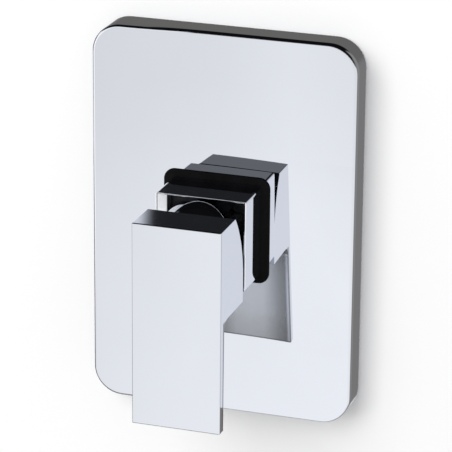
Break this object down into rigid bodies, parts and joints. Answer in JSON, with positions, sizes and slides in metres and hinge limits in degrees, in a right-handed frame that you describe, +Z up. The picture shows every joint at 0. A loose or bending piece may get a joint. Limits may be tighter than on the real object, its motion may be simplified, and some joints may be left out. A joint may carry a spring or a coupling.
{
  "type": "concealed shower mixer",
  "caption": "Single-lever shower mixer built into a wall: cover plate, square sleeve and lever over a ceramic disc cartridge in a brass valve body.",
  "frame": {"origin": "on the cartridge's axis, in the plane of the finished wall", "axes": "+Z up, +X to the right of a person facing the wall, -Y out of the wall towards that person"},
  "size_m": [0.12, 0.109, 0.174],
  "materials": {
    "chrome_plate": "mirror-polished chrome plating",
    "chrome_sleeve": "mirror-polished chrome plating",
    "chrome_cap": "mirror-polished chrome plating",
    "chrome_lever": "mirror-polished chrome plating",
    "black_rubber": "smooth moulded rubber, satin",
    "seal_rubber": "moulded rubber, matt",
    "foam": "closed-cell foam, matt",
    "steel": "turned stainless steel",
    "spindle_metal": "machined brass",
    "brass": "turned brass",
    "cast_brass": "cast and sand-blasted brass, sockets machined",
    "white_plastic": "moulded acetal, satin",
    "dark_plastic": "moulded nylon, black, satin",
    "blue_plastic": "moulded acetal, satin",
    "orange_plastic": "moulded acetal, satin",
    "grey_plastic": "moulded plastic, semi-gloss",
    "disc_ceramic": "lapped alumina",
    "red_fibre": "pressed fibre"
  },
  "bodies": {
    "valve": {"faceplate": "chrome_plate", "wall_seal": "foam", "sleeve_gasket": "black_rubber", "square_sleeve": "chrome_sleeve", "sleeve_carrier": "dark_plastic", "sleeve_grip_ring": "seal_rubber", "carrier_snap_ring": "steel", "ball_cap": "chrome_cap", "cap_ring": "seal_rubber", "retaining_nut": "brass", "cartridge_housing": "white_plastic", "fixed_disc": "disc_ceramic", "cartridge_base": "white_plastic", "port_seals": "seal_rubber", "valve_body": "cast_brass", "outlet_plug": "brass", "outlet_plug_washer": "red_fibre"},
    "turner": {"spindle_carrier": "blue_plastic", "pivot_pin": "steel"},
    "lever": {"lever_handle": "chrome_lever", "lever_grub_screw": "steel", "screw_hole_plug": "grey_plastic", "spindle": "spindle_metal"},
    "disc_slider": {"disc_driver": "orange_plastic", "moving_disc": "disc_ceramic"}
  },
  "joints": [
    {"name": "temperature_turn", "type": "hinge", "parent": "valve", "child": "turner", "pos_m": [0, -0.0375, 0], "axis": [0, -1, 0], "range_deg": [-45, 45]},
    {"name": "flow_lift", "type": "hinge", "parent": "turner", "child": "lever", "pos_m": [0, -0.0375, 0], "axis": [-1, 0, 0], "range_deg": [0, 25]},
    {"name": "disc_slide", "type": "slide", "parent": "turner", "child": "disc_slider", "axis": [0, 0, -1], "range_m": [0, 0.0047]}
  ],
  "couplings": [
    {"joint": "disc_slide", "follows": "flow_lift", "m_per_rad": 0.01066}
  ]
}
